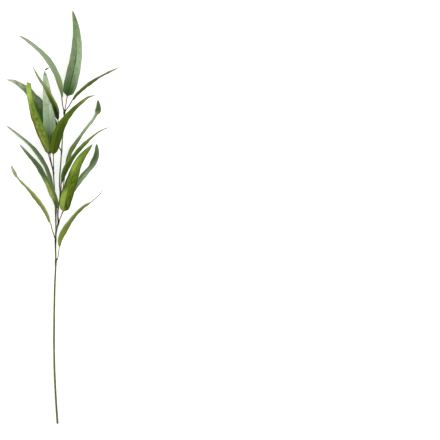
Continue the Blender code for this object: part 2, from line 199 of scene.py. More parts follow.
LEAVES = [
    Leaf("leaf_top_left", "underside", 5, 9.4, 0.31, 0.6, 0.4, -0.15,
         [(0, 74), (0.25, 52), (1, 55)], 2,
         [(1.9, 203, 27.2), (-1.4, 216.5, 30), (-2.6, 227.5, 32), (-5.9, 249.4, 34),
          (-12.6, 271.3, 35.5), (-23.6, 293.9, 36), (-38.2, 312.4, 35), (-57, 330.6, 32),
          (-72.4, 342.2, 29), (-84.5, 350, 26)]),
    Leaf("leaf_top_upright", "underside", 5, 13.2, 0.22, 0.7, 0.58, -0.12,
         [(0, -5), (0.5, -8), (1, -15)], 2,
         [(1.9, 203, 27.2), (4.6, 217, 27.4), (7.2, 232.3, 27.5), (13.1, 254.5, 27.5),
          (19, 279.2, 26.5), (24.6, 309.4, 24.5), (26.2, 340.5, 22), (24, 371.4, 18),
          (20.7, 387.3, 15), (17.7, 400, 12)]),
    Leaf("leaf_top_right", "upper side", 5, 8.6, 0.22, 0.6, 0.52, 0.2,
         [(0, -76), (0.25, -67), (1, -71)], 2,
         [(1.9, 203, 27.2), (11, 215, 28.5), (15.8, 223.3, 29), (21, 233.5, 29),
          (40.5, 252.1, 27), (60.8, 267.1, 21.5), (77, 275.9, 15), (90.5, 282.6, 8.5),
          (111.2, 291.6, 0.7)]),
    Leaf("leaf_upper_left_narrow", "upper side", 5, 10, 0.28, 0.6, 0.5, 0.2,
         [(0, 62), (0.2, 55), (0.5, 63), (1, 72)], 2,
         [(-0.7, 166, 25), (-6.5, 172, 27.5), (-10.2, 186, 29.5), (-11, 197, 31),
          (-14.3, 213.5, 32), (-22.7, 232, 31.5), (-30.6, 247, 30), (-40.6, 261.3, 28),
          (-50, 275.6, 25.5), (-60, 293.2, 22.5)]),
    Leaf("leaf_upper_pale_curled", "underside", 4, 12.3, 0.3, 0.75, 0.75, -0.12,
         [(0, 0), (0.86, 0), (0.92, 70), (0.96, 150), (1, 160)], 2,
         [(-19.3, 86, 19.3), (-20.8, 94, 15.5), (-26, 120.2, 16), (-26.7, 149.2, 17.5),
          (-27.5, 188.2, 18), (-30.5, 227.2, 17.5), (-33, 254.2, 16.5), (-35.3, 272.3, 16),
          (-36.3, 281.9, 17), (-33, 286.4, 18.5), (-26.3, 290, 20)]),
    Leaf("leaf_upper_left_back", "underside", 7, 14.8, 0.35, 0.6, 0.87, -0.1,
         [(0, 5), (0.5, 10), (0.66, 40), (0.8, 40), (1, 30)], 2,
         [(-3.6, 127, 22), (-8.6, 136, 18), (-12.2, 145, 13), (-18, 163, 9),
          (-28.5, 184, 7.8), (-40, 203.5, 7.4), (-50.5, 217, 7.8), (-59.5, 229, 9),
          (-67, 241.5, 9.6), (-80.6, 252.8, 7.7), (-95.2, 262.1, 5), (-111.6, 266.6, 0.8)]),
    Leaf("leaf_upper_left_front", "upper side", 14, 11, 0.36, 0.85, 0.42, 0.25,
         [(0, -20), (0.3, -35), (0.5, -42), (0.66, -56), (0.82, -42), (1, -15)], 3,
         [(-19.3, 86, 20), (-23.1, 100.7, 22), (-26.5, 112, 24), (-28.9, 121, 26),
          (-33.9, 139.8, 30), (-45.5, 166.6, 35), (-55.2, 190.2, 38), (-62.7, 213.4, 40),
          (-66.3, 234.6, 40.5), (-67.2, 249.7, 39), (-67.2, 257.2, 35.5), (-67.2, 260.2, 28)]),
    Leaf("leaf_upper_right_front", "upper side", 13, 10.7, 0.28, 0.8, 0.6, 0.25,
         [(0, -20), (0.3, -28), (0.55, -53), (1, -60)], 3,
         [(-19.3, 86, 20), (-19, 99, 23), (-19.4, 111, 26), (-19.5, 119.8, 29),
          (-16.6, 142.2, 34.5), (-9.7, 166.1, 39), (1.2, 188.5, 42), (18.1, 208.9, 43),
          (36.1, 223.9, 41), (47.1, 232.1, 39), (62.6, 236.2, 36)]),
    Leaf("leaf_mid_right_twisted", "underside", 7, 11, 0.4, 0.6, 0.52, -0.15,
         [(0, -66), (0.3, -70), (0.74, -76), (0.82, -70), (0.89, -8), (1, 10)], 2,
         [(-5.7, 43, 17), (-1.6, 53, 15.8), (1.9, 75.5, 16), (7.7, 102.3, 16),
          (15.8, 127.1, 15.5), (28.9, 148.1, 15), (43, 167.6, 14), (59.7, 189.9, 12),
          (67.5, 209, 9.5), (66.6, 226.8, 7)]),
    Leaf("leaf_mid_right_narrow", "upper side", 9, 10, 0.3, 0.7, 0.5, 0.2,
         [(0, -72), (0.2, -58), (0.5, -66), (1, -75)], 2,
         [(-5.7, 43, 17.5), (-4.5, 54, 22.5), (-4.4, 61.2, 26), (0.5, 87.2, 31),
          (11.6, 109, 33), (27.7, 129.4, 33.5), (43.7, 146.5, 32.5), (59.9, 160, 31),
          (75.5, 169.5, 29), (90.2, 174.4, 27)]),
    Leaf("leaf_mid_right_front", "upper side", 5, 12.6, 0.3, 0.6, 0.62, 0.25,
         [(0, -15), (0.4, -25), (1, -20)], 2,
         [(-9.4, -10, 15.6), (-5.9, -1.5, 20.5), (-0.9, 9.6, 26), (5.2, 37.4, 34),
          (15.3, 71, 40), (26.9, 102.4, 43), (40, 122.4, 44), (48.5, 132, 43.3),
          (56.7, 141.1, 41.5)]),
    Leaf("leaf_mid_right_back", "underside", 5, 9, 0.35, 0.7, 0.45, -0.12,
         [(0, 66), (0.3, 58), (0.62, 52), (0.8, 12), (1, 0)], 2,
         [(-9.4, -10, 15.6), (-3.8, 4.2, 14.5), (2.2, 20.5, 14.8), (13, 44.6, 14.5),
          (26.9, 65.4, 13.5), (41.1, 84.8, 13), (55.7, 102, 12), (63.9, 121, 10),
          (64.3, 141.5, 7.5)]),
    Leaf("leaf_mid_left_back", "underside", 8, 8, 0.3, 0.7, 0.4, -0.12,
         [(0, -70), (0.3, -59), (1, -61)], 2,
         [(-15.2, 7, 14.4), (-16.2, 19, 10.6), (-17, 31, 9.9), (-20.6, 52, 9.8),
          (-25.1, 73.5, 9.8), (-34.6, 100.7, 9.6), (-49.3, 123.1, 9), (-67.4, 143.3, 7.5),
          (-88.6, 161, 5.5), (-110, 177, 3.6)]),
    Leaf("leaf_mid_left_front", "upper side", 7, 9.9, 0.3, 0.7, 0.5, 0.2,
         [(0, 55), (0.2, 50), (0.4, 55), (1, 52)], 2,
         [(-14.7, -6, 15.7), (-14, 6, 20.5), (-13.1, 14.6, 24), (-13.1, 27.3, 28),
          (-22.7, 52.5, 31.5), (-33.7, 75.4, 31), (-46.1, 96.6, 29), (-59, 112.4, 26.5),
          (-71.6, 126.4, 23), (-85.2, 141.2, 19)]),
    Leaf("leaf_low_left", "upper side", 8, 9, 0.25, 0.6, 0.5, 0.2,
         [(0, 72), (0.3, 61), (0.7, 66), (0.8, 74), (0.9, 30), (1, 25)], 3,
         [(-15.2, -45, 12), (-18.7, -34, 13.5), (-22.2, -23.5, 14), (-24.4, -13.8, 14),
          (-30.6, 4.7, 13.5), (-43, 26, 12.3), (-57.5, 43.7, 11), (-72.9, 60.9, 9.5),
          (-85.6, 73.9, 8), (-94.2, 85.3, 6.5), (-101.2, 100.2, 5)]),
    Leaf("leaf_low_right", "upper side", 8, 9.5, 0.28, 0.75, 0.55, 0.2,
         [(0, -66), (0.25, -52), (0.5, -70), (0.68, -64), (0.8, -84), (1, -80)], 3,
         [(-14.8, -87, 9), (-11.5, -80.4, 12), (-9.6, -70, 13.5), (-8.4, -61.5, 14.5),
          (-8.1, -44.5, 15.2), (0.6, -24.9, 15), (12.8, -6.8, 14), (26.1, 10.2, 12.5),
          (38.5, 21.2, 11), (51.8, 29, 9.5), (67.8, 42.2, 8), (78, 55.8, 6.5)]),
]

# Pigments as they look on a screen under even light, 0 to 255
PIGMENTS = {
    "white green": (212, 226, 194),
    "pale silver": (196, 208, 172),
    "silver green": (172, 188, 156),
    "soft mint": (172, 198, 160),
    "pale grey green": (158, 180, 142),
    "grey green": (132, 150, 110),
    "sage green": (156, 172, 112),
    "dusty green": (108, 124, 88),
    "deep grey green": (84, 100, 68),
    "sea green": (78, 106, 60),
    # Mostly painted shade: the two darkest greens below are laid at the crowded blade bases and where a
    # blade lies under other leaves
    "shade green": (48, 72, 28),
    "near black green": (10, 40, 4),
    "moss green": (80, 100, 24),
    "deep moss": (66, 82, 12),
    "leaf green": (86, 112, 26),
    "fresh green": (104, 130, 44),
    "lime green": (142, 166, 66),
    "warm lime": (160, 172, 92),
    "yellow green": (184, 204, 108),
    "khaki": (128, 138, 70),
    "olive green": (114, 128, 44),
    "dull olive": (96, 106, 48),
    "deep olive": (66, 76, 18),
    "brown olive": (72, 68, 18),
    "ochre": (152, 140, 72),
    "golden olive": (122, 122, 40),
    "red brown": (128, 66, 20),
    "stalk brown": (112, 78, 50),
    "dark stalk": (84, 62, 38),
    "pink stalk": (146, 104, 88),
    "olive stalk": (98, 92, 44),
    "dark brown": (46, 32, 16),
    "grey violet": (178, 174, 168),
    "slate violet": (116, 112, 112),
    "ash green": (142, 150, 124),
    "straw": (180, 172, 120),
    "bark grey green": (100, 108, 56),
    "bark green": (92, 102, 36),
    "bark olive": (98, 102, 40),
    "bark pale": (126, 132, 100),
    "bark shade": (70, 74, 36),
    "bark straw": (148, 152, 88),
}

# How a blade's upward face is coloured: its left and right halves from base to tip as
# (share, pigment), the midrib, how plain it is and the shares between which it shows, the two
# edges, each one pigment or stops like the halves, how plain they are, and the blotches.
Look = namedtuple(
    "Look", "left right rib rib_weight rib_reach left_edge right_edge edge_weight blotch blotch_weight")

# Where a leaf's two halves differ in lightness, that is partly the leaf's own colour and partly painted
# light and shade: a half folded towards the key light is lighter, a half folded away is darker.
LOOKS = {
    "leaf_top_left": Look(
        [(0, "deep olive"), (0.07, "dusty green"), (0.2, "sage green"), (0.4, "silver green"),
         (0.7, "silver green"), (0.9, "pale silver"), (1, "grey violet")],
        [(0, "dull olive"), (0.08, "grey green"), (0.2, "sage green"), (0.35, "pale grey green"),
         (0.5, "pale grey green"), (0.8, "silver green"), (1, "grey violet")],
        "grey green", 0.3, (0, 1), "pale silver", "sage green", 0.4, "grey green", 0.2),
    "leaf_top_upright": Look(
        [(0, "shade green"), (0.1, "sea green"), (0.22, "dusty green"), (0.45, "grey green"),
         (1, "grey green")],
        [(0, "shade green"), (0.1, "sea green"), (0.22, "grey green"), (0.35, "pale grey green"),
         (0.62, "pale grey green"), (0.78, "grey green"), (0.9, "dusty green"), (1, "grey green")],
        "shade green", 0.75, (0.04, 0.52), "grey green", "pale grey green", 0.4, "sea green", 0.4),
    "leaf_top_right": Look(
        [(0, "moss green"), (0.2, "olive green"), (0.4, "olive green"), (0.7, "dull olive"),
         (0.85, "khaki"), (1, "grey violet")],
        [(0, "deep moss"), (0.3, "moss green"), (0.5, "deep moss"), (0.7, "dull olive"), (0.85, "khaki"),
         (1, "grey violet")],
        "moss green", 0.3, (0, 0.8), "olive green", "deep olive", 0.4, "deep olive", 0.25),
    # Painted shadow: the near black green at the base is the shadow where this blade runs under
    # leaf_upper_right_front.
    "leaf_upper_left_narrow": Look(
        [(0, "near black green"), (0.2, "near black green"), (0.27, "deep moss"), (0.38, "moss green"),
         (0.5, "olive green"), (0.65, "sage green"), (1, "straw")],
        [(0, "near black green"), (0.12, "near black green"), (0.18, "leaf green"), (0.35, "lime green"),
         (0.5, "sage green"), (0.7, "warm lime"), (1, "straw")],
        "moss green", 0.2, (0.2, 0.7), "dull olive", "khaki", 0.4, "deep moss", 0.15),
    # Painted shade: shade green at the base, where leaf_upper_left_front and leaf_upper_right_front lie
    # over it, and at the curled tip.
    "leaf_upper_pale_curled": Look(
        [(0, "shade green"), (0.2, "sea green"), (0.27, "grey green"), (0.36, "pale grey green"),
         (0.5, "soft mint"), (0.65, "white green"), (0.87, "white green"), (0.91, "grey green"),
         (0.94, "shade green"), (1, "shade green")],
        [(0, "shade green"), (0.2, "sea green"), (0.28, "pale grey green"), (0.38, "soft mint"),
         (0.5, "white green"), (0.87, "white green"), (0.91, "grey green"), (0.94, "shade green"),
         (1, "shade green")],
        "grey green", 0.65, (0.05, 0.55), "soft mint", "white green", 0.3, "grey green", 0.35),
    # Painted shade: both halves stay dark sea green over the lower blade, the left half up to 0.6, for
    # the shade that leaf_upper_left_front and leaf_upper_pale_curled cast on it.
    "leaf_upper_left_back": Look(
        [(0, "shade green"), (0.2, "sea green"), (0.6, "sea green"), (0.7, "grey green"),
         (0.8, "pale grey green"), (0.9, "pale silver"), (1, "pale silver")],
        [(0, "shade green"), (0.2, "sea green"), (0.35, "sea green"), (0.44, "dusty green"),
         (0.65, "grey green"), (0.8, "silver green"), (0.9, "pale silver"), (1, "pale silver")],
        "sea green", 0.3, (0.2, 0.7), "grey green", "dusty green", 0.2, "shade green", 0.4),
    "leaf_upper_left_front": Look(
        [(0, "shade green"), (0.05, "khaki"), (0.2, "ochre"), (0.35, "golden olive"),
         (0.54, "golden olive"), (0.64, "warm lime"), (0.7, "warm lime"), (0.8, "yellow green"),
         (1, "lime green")],
        [(0, "shade green"), (0.05, "warm lime"), (0.2, "fresh green"), (0.42, "leaf green"),
         (0.68, "fresh green"), (0.8, "yellow green"), (1, "lime green")],
        "golden olive", 0.4, (0.1, 0.6),
        [(0, "brown olive"), (0.46, "brown olive"), (0.56, "red brown"), (0.66, "golden olive"),
         (0.8, "yellow green"), (1, "lime green")],
        "fresh green",
        0.85, "lime green", 0.8),
    "leaf_upper_right_front": Look(
        [(0, "moss green"), (0.4, "leaf green"), (0.55, "fresh green"), (0.7, "leaf green"),
         (0.82, "khaki"), (1, "silver green")],
        [(0, "brown olive"), (0.08, "deep moss"), (0.4, "deep moss"), (0.52, "leaf green"),
         (0.68, "moss green"), (0.82, "khaki"), (1, "silver green")],
        "brown olive", 0.65, (0, 0.7), "leaf green", "deep moss", 0.3, "moss green", 0.45),
    "leaf_mid_right_twisted": Look(
        [(0, "fresh green"), (0.2, "lime green"), (0.35, "khaki"), (0.5, "grey green"),
         (0.7, "silver green"), (0.82, "ash green"), (0.88, "deep grey green"), (1, "dusty green")],
        [(0, "fresh green"), (0.2, "lime green"), (0.35, "dull olive"), (0.5, "dusty green"),
         (0.7, "grey green"), (0.82, "grey green"), (0.89, "deep grey green"), (1, "dusty green")],
        "dull olive", 0.3, (0.1, 0.6), "grey green", "dull olive", 0.4, "leaf green", 0.2),
    "leaf_mid_right_narrow": Look(
        [(0, "leaf green"), (0.2, "leaf green"), (0.35, "fresh green"), (0.5, "fresh green"),
         (0.65, "khaki"), (1, "straw")],
        [(0, "deep moss"), (0.1, "moss green"), (0.35, "leaf green"), (0.5, "leaf green"),
         (0.65, "olive green"), (0.8, "khaki"), (1, "straw")],
        "leaf green", 0.3, (0, 0.6), "leaf green", "deep moss", 0.5, "moss green", 0.25),
    "leaf_mid_right_front": Look(
        [(0, "olive green"), (0.06, "khaki"), (0.16, "lime green"), (0.26, "lime green"),
         (0.34, "leaf green"), (0.5, "leaf green"), (0.6, "lime green"), (0.7, "lime green"),
         (0.82, "fresh green"), (1, "grey green")],
        [(0, "deep moss"), (0.14, "deep moss"), (0.25, "moss green"), (0.42, "moss green"),
         (0.52, "leaf green"), (0.62, "olive green"), (0.8, "fresh green"), (1, "dull olive")],
        "red brown", 0.5, (0.16, 0.44),
        [(0, "khaki"), (0.2, "lime green"), (0.27, "fresh green"), (0.33, "shade green"),
         (0.52, "shade green"), (0.6, "fresh green"), (1, "dull olive")],
        [(0, "deep moss"), (0.3, "deep moss"), (0.5, "moss green"), (0.7, "moss green"),
         (1, "dull olive")],
        0.8, "lime green", 0.3),
    "leaf_mid_right_back": Look(
        [(0, "leaf green"), (0.22, "leaf green"), (0.32, "sage green"), (0.5, "grey green"),
         (0.65, "grey green"), (0.8, "deep grey green"), (1, "dusty green")],
        [(0, "sea green"), (0.25, "grey green"), (0.38, "silver green"), (0.55, "silver green"),
         (0.68, "grey green"), (0.8, "deep grey green"), (1, "dusty green")],
        "grey green", 0.3, (0.1, 0.7), "grey green", "silver green", 0.3, "grey green", 0.2),
    "leaf_mid_left_back": Look(
        [(0, "deep olive"), (0.1, "dull olive"), (0.2, "grey green"), (0.35, "dusty green"),
         (0.5, "dusty green"), (0.65, "grey green"), (0.8, "silver green"), (1, "grey violet")],
        [(0, "deep olive"), (0.1, "dull olive"), (0.2, "grey green"), (0.35, "dusty green"),
         (0.5, "dusty green"), (0.65, "grey green"), (0.8, "silver green"), (1, "grey violet")],
        "dusty green", 0.4, (0, 0.8), "silver green", "dusty green", 0.3, "grey green", 0.3),
    "leaf_mid_left_front": Look(
        [(0, "shade green"), (0.1, "moss green"), (0.18, "warm lime"), (0.38, "warm lime"),
         (0.48, "sea green"), (0.7, "deep grey green"), (0.85, "dusty green"), (1, "grey violet")],
        [(0, "shade green"), (0.1, "sea green"), (0.25, "fresh green"), (0.45, "sea green"),
         (0.7, "deep grey green"), (0.85, "dusty green"), (1, "grey violet")],
        "leaf green", 0.55, (0.05, 0.6), "straw", "sea green", 0.3, "dull olive", 0.3),
    "leaf_low_left": Look(
        [(0, "khaki"), (0.3, "khaki"), (0.55, "khaki"), (0.7, "sage green"), (1, "silver green")],
        [(0, "khaki"), (0.2, "warm lime"), (0.55, "warm lime"), (0.7, "sage green"), (1, "silver green")],
        "warm lime", 0.5, (0, 0.9), "khaki", "warm lime", 0.4, "khaki", 0.3),
    "leaf_low_right": Look(
        [(0, "olive green"), (0.3, "fresh green"), (0.6, "khaki"), (0.72, "khaki"), (0.82, "grey violet"),
         (0.9, "slate violet"), (1, "slate violet")],
        [(0, "olive green"), (0.2, "olive green"), (0.38, "dull olive"), (0.6, "dull olive"),
         (0.72, "khaki"), (0.82, "grey violet"), (0.9, "slate violet"), (1, "slate violet")],
        "olive green", 0.4, (0, 0.7), "khaki", "dull olive", 0.4, "olive green", 0.3),
}

# Stalks that aren't the plain stalk brown
STALKS = {
    "leaf_top_left": "dark stalk",
    "leaf_top_upright": "pink stalk",
    "leaf_top_right": "dark stalk",
    "leaf_upper_left_front": "dark stalk",
    "leaf_upper_right_front": "olive stalk",
    "leaf_mid_right_front": "pink stalk",
    "leaf_mid_right_back": "dark stalk",
    "leaf_low_left": "olive stalk",
    "leaf_low_right": "olive stalk",
}

# The faces turned to the floor have these plain looks.
HIDDEN_UPPER = Look(
    [(0, "deep olive"), (0.2, "leaf green"), (0.8, "olive green"), (1, "dull olive")],
    [(0, "deep olive"), (0.2, "leaf green"), (0.8, "leaf green"), (1, "dull olive")],
    "lime green", 0.5, (0, 1), "dull olive", "dull olive", 0.4, "fresh green", 0.4)
HIDDEN_UNDERSIDE = Look(
    [(0, "sea green"), (0.2, "grey green"), (0.8, "pale grey green"), (1, "silver green")],
    [(0, "sea green"), (0.2, "grey green"), (0.8, "grey green"), (1, "silver green")],
    "lime green", 0.5, (0, 1), "silver green", "silver green", 0.3, "dusty green", 0.35)

# The camera stands over the middle of the picture and looks straight down.
PICTURE_WIDTH = 0.852
PICTURE_MIDDLE = (0.3030, -0.0057)
LENS = 1400.0
SENSOR = 36.0
CAMERA_REACH = 60.0

FLOOR_HALF_WIDTH = 30.0
FLOOR_SCREEN = 0.8
FLOOR_ROUGHNESS = 0.9
# The floor is lit from below as well, like a light table, so shadows on it stay faint.
FLOOR_GLOW = 0.55

# The studio's light falls on a pigment this much stronger than the screen's even light.
STUDIO_GAIN = 1.12
# Light that a leaf's skin reflects besides its pigment
SKIN_GLOSS = 0.007

# What a leaf's colour is made of besides its look. The blend of its halves, the edge bands and
# the fade of its veins are shares of the half width. Blotches, the midrib's line, the stalk's
# colour and the skin's grain are in mm. Where lines begin, end or taper is a share of the blade.
HALVES_BLEND = 0.18
EDGE_BAND = {"Start": 0.42, "End": 0.9}
LARGE_BLOTCHES = {"Size": 4.2, "Stretch": 2.0, "Softness": 0.07, "Level": 0.53}
SMALL_BLOTCHES = {"Size": 2.4, "Stretch": 1.6, "Softness": 0.1, "Level": 0.53}
SMALL_BLOTCH_SEED = 5.3
SMALL_BLOTCH_SHADE = (0.72, 0.78, 0.7, 1.0)
SMALL_BLOTCH_WEIGHT = 0.45
MIDRIB_LINE = {"Half width": 0.35, "Softness": 1.15}
MIDRIB_AT_TIP = 0.3
MIDRIB_START_FADE = 0.06
MIDRIB_END_FADE = 0.1
VEIN_FADE_START = 0.6
VEINS_BEGIN = (0.02, 0.06)
# The stalk's colour runs this far up the blade, and fades between these distances from the midrib.
STALK_COLOUR_REACH = 7.0
STALK_COLOUR_FADE = (0.9, 2.4)
LEAF_SKIN = {"Grain size": 0.45, "Pore size": 0.8}
LEAF_SKIN_RELIEF = 0.35
LEAF_RELIEF = {"Strength": 0.5, "Distance": 0.1 * MM}

# How the two faces of a leaf differ: the side veins' half width as a share of their spacing, their
# tint, weight and relief, the roughness off and on the small blotches, and the specular level
Face = namedtuple("Face", "vein_width vein_tint vein_weight vein_relief smooth rough specular")
UPPER_FACE = Face(0.13, (1.2, 1.2, 1.05, 1), 0.5, -0.9, 0.38, 0.56, 0.12)
UNDERSIDE_FACE = Face(0.16, (0.7, 0.76, 0.7, 1), 0.28, 0.9, 0.58, 0.74, 0.05)

# Bark: its colour from the cut end to the top joint, and its grain
BARK_SPAN = (-400.0, 200.0)
BARK_STOPS = [
    (0.0, "bark grey green"), (0.35, "bark green"), (0.6, "bark olive"), (0.75, "bark pale"),
    (1.0, "bark pale"),
]
BARK_GRAIN_SCALE = (1400.0, 90.0, 1400.0)
BARK_PATCH_SCALE = 55.0
BARK_SKIN = {"Grain size": 0.6, "Pore size": 2.6}
BARK_SKIN_RELIEF = 0.4
BARK_RELIEF = {"Strength": 0.6, "Distance": 0.12 * MM}

# Depth of a pore beside the grain, in leaf skin and bark alike
PORE_DEPTH = 0.4

# The soft light from the sky and the key light: strength, angle across and where it comes from
SKY_STRENGTH = 0.9
KEY_STRENGTH = 1.15
KEY_ANGLE = 50
KEY_SIDE = (0.75, 0.35, 0.9)


# Curves


def hermite(knots, values, at):
    """A smooth curve through the values, read at the given places."""
    knots = np.asarray(knots, float)
    values = np.asarray(values, float)
    at = np.clip(np.atleast_1d(at), knots[0], knots[-1])
    slopes = np.gradient(values, knots, axis=0)
    left = np.clip(np.searchsorted(knots, at, side="right") - 1, 0, len(knots) - 2)
    span = knots[left + 1] - knots[left]
    share = (at - knots[left]) / span
    if values.ndim == 2:
        span = span[:, None]
        share = share[:, None]
    start_weight = (1 + 2 * share) * (1 - share) ** 2
    end_weight = share ** 2 * (3 - 2 * share)
    start_pull = share * (1 - share) ** 2 * span
    end_pull = share ** 2 * (share - 1) * span
    return (start_weight * values[left] + end_weight * values[left + 1]
            + start_pull * slopes[left] + end_pull * slopes[left + 1])


def smooth_points(controls):
    """Closely spaced points of a smooth curve through the control points."""
    controls = np.asarray(controls, float)
    chords = np.linalg.norm(np.diff(controls, axis=0), axis=1)
    knots = np.concatenate([[0], np.cumsum(chords)])
    return hermite(knots, controls, np.linspace(0, knots[-1], POINTS_PER_CONTROL * len(controls)))


class Route:
    """A curve given by closely spaced points, read by the distance along it."""

    def __init__(self, points):
        self.points = points
        steps = np.linalg.norm(np.diff(points, axis=0), axis=1)
        self.lengths = np.concatenate([[0], np.cumsum(steps)])
        self.length = self.lengths[-1]

    def nearest(self, place):
        """The distance along the curve at which it passes the place."""
        return self.lengths[np.argmin(np.linalg.norm(self.points - place, axis=1))]

    def point(self, distance):
        return np.array([np.interp(distance, self.lengths, axis) for axis in self.points.T])

    def direction(self, distance):
        ahead = self.point(min(distance + DIRECTION_REACH, self.length))
        behind = self.point(max(distance - DIRECTION_REACH, 0))
        return (ahead - behind) / np.linalg.norm(ahead - behind)

    def frame(self, distance):
        """Side and up vectors across the curve: side is level, up leans with the slope."""
        ahead = self.direction(distance)
        side = np.cross(ahead, (0, 0, 1))
        side /= np.linalg.norm(side)
        return side, np.cross(side, ahead)


def smoothstep(share):
    share = np.clip(share, 0.0, 1.0)
    return share * share * (3 - 2 * share)


def bell(distance, spread):
    return math.exp(-(distance / spread) ** 2)


# Meshes


def skinned(name, rings, close_start, close_end):
    """A closed mesh object over rings of equal size, with its ends closed by the given faces."""
    count = len(rings[0])
    faces = []
    for row in range(len(rings) - 1):
        first = row * count
        for i in range(count):
            j = (i + 1) % count
            faces.append((first + i, first + j, first + count + j, first + count + i))
    last = (len(rings) - 1) * count
    faces += [tuple(reversed(corners)) for corners in close_start]
    faces += [tuple(last + i for i in corners) for corners in close_end]
    data = bpy.data.meshes.new(name)
    data.from_pydata([tuple(p * MM) for p in np.concatenate(rings)], [], faces)
    data.update()
    made = bpy.data.objects.new(name, data)
    bpy.context.scene.collection.objects.link(made)
    return made


def smooth(piece):
    piece.data.shade_smooth()
    piece.data.set_sharp_from_angle(angle=SHARP_ANGLE)


def set_values(piece, name, values):
    """A number at each of the mesh's points, which the materials read by its name."""
    made = piece.data.attributes.new(name, "FLOAT", "POINT")
    made.data.foreach_set("value", np.asarray(values, np.float32))


# The stem


def underside_height(y):
    beyond = max(y - LIFT_START, 0)
    return RISE * (math.hypot(beyond, BEND_LENGTH) - BEND_LENGTH)


def stem_route(plan, plain_radius):
    """The stem's axis over its points in plan."""
    return Route(np.array([
        (x, y, underside_height(y) + plain_radius(y) * AXIS_SHARE) for x, y in smooth_points(plan)
    ]))


def main_stem_radius(y):
    ends_y = (MAIN_STEM[0][1], FORK_Y, MAIN_STEM[-1][1])
    return float(np.interp(y, ends_y, (CUT_END_RADIUS, FORK_RADIUS, TOP_RADIUS)))


def left_twig_radius(y):
    ends_y = (LEFT_TWIG[0][1], LEFT_TWIG[-1][1])
    return float(np.interp(y, ends_y, (TWIG_START_RADIUS, TWIG_END_RADIUS)))


def stem_radius(y, angle, plain_radius, joints):
    """The stem's surface: its plain thickness, swollen joints with a collar, scars and low ribs."""
    radius = plain_radius(y)
    for place, extra, _ in joints:
        radius += extra * bell(y - place, JOINT_SPREAD)
        radius += COLLAR_HEIGHT * bell(y - place + COLLAR_BELOW, COLLAR_SPREAD)
    radius += sum(SCAR_HEIGHT * bell(y - place, SCAR_SPREAD) for place in SCARS)
    radius += RIB_HEIGHT * math.sin(RIB_COUNT * angle + y / RIB_TURN_LENGTH)
    radius += UNEVEN * math.sin(y / UNEVEN_LENGTH) * math.cos(angle + y / UNEVEN_TURN_LENGTH)
    return radius


def round_ring(route, distance, radius_at, sides):
    centre = route.point(distance)
    side, up = route.frame(distance)
    angles = 2 * math.pi * np.arange(sides) / sides
    return np.array([centre + radius_at(a) * (math.cos(a) * side + math.sin(a) * up) for a in angles])


def stem_tube(name, plan, plain_radius, joints):
    route = stem_route(plan, plain_radius)
    places = np.linspace(CUT_BEVEL, route.length - CUT_BEVEL, round(route.length / STEM_STEP))
    rings = []
    for distance in places:
        y = route.point(distance)[1]
        ring = round_ring(route, distance,
                          lambda a: stem_radius(y, a, plain_radius, joints), STEM_SIDES)
        ring[:, 2] = np.maximum(ring[:, 2], CLEAR_OF_FLOOR)
        rings.append(ring)
    # Each end is a little narrower than the ring before it.
    for ring, end, outward in ((rings[0], 0, -1), (rings[-1], route.length, 1)):
        centre = ring.mean(axis=0)
        narrowed = centre + (ring - centre) * (1 - CUT_BEVEL / plain_radius(centre[1]))
        narrowed += route.direction(end) * CUT_BEVEL * outward
        rings.insert(0 if outward < 0 else len(rings), narrowed)
    cap = [tuple(range(STEM_SIDES))]
    return skinned(name, rings, cap, cap)


def stub_radius(distance, length):
    """Flared where it leaves the stem, with a knob where it takes the stalk."""
    radius = STUB_ROOT_RADIUS + (STUB_END_RADIUS - STUB_ROOT_RADIUS) * distance / length
    radius += STUB_FLARE * bell(distance, STUB_FLARE_REACH)
    return radius + KNOB_HEIGHT * bell(length - KNOB_SPREAD - distance, KNOB_SPREAD)


def stub(leaf):
    """The short piece of stem that a leaf's stalk grows from, along the leaf's own route."""
    route = Route(smooth_points(leaf.spine))
    rings = []
    for distance in np.linspace(0, leaf.stub, round(leaf.stub / STUB_STEP) + 1):
        radius = stub_radius(distance, leaf.stub)
        rings.append(round_ring(route, distance, lambda a: radius, STUB_SIDES))
    cap = [tuple(range(STUB_SIDES))]
    return skinned("stub", rings, cap, cap)


def fused(first, others):
    """One closed mesh of pieces that run into each other."""
    group = bpy.data.collections.new("stem pieces")
    bpy.context.scene.collection.children.link(group)
    for piece in others:
        bpy.context.scene.collection.objects.unlink(piece)
        group.objects.link(piece)
    union = first.modifiers.new("union", "BOOLEAN")
    union.operation = "UNION"
    union.operand_type = "COLLECTION"
    union.collection = group
    union.solver = "EXACT"
    graph = bpy.context.evaluated_depsgraph_get()
    data = bpy.data.meshes.new_from_object(first.evaluated_get(graph))
    for piece in (first, *others):
        bpy.data.objects.remove(piece)
    bpy.data.collections.remove(group)
    return data


def distance_to(points, route):
    """Each point's distance to the route's own points, and which of those is the nearest."""
    gaps = np.linalg.norm(points[:, None, :] - route.points[None, :, :], axis=2)
    nearest = gaps.argmin(axis=1)
    return gaps[np.arange(len(points)), nearest], nearest


def joint_places():
    """The middle of each joint, with how dark it has grown."""
    main = stem_route(MAIN_STEM, main_stem_radius)
    twig = stem_route(LEFT_TWIG, left_twig_radius)
    places = []
    for route, joints in ((main, MAIN_JOINTS), (twig, TWIG_JOINTS)):
        for y, _, darkness in joints:
            at = float(np.interp(y, route.points[:, 1], route.lengths))
            places.append((route.point(at), darkness))
    return places


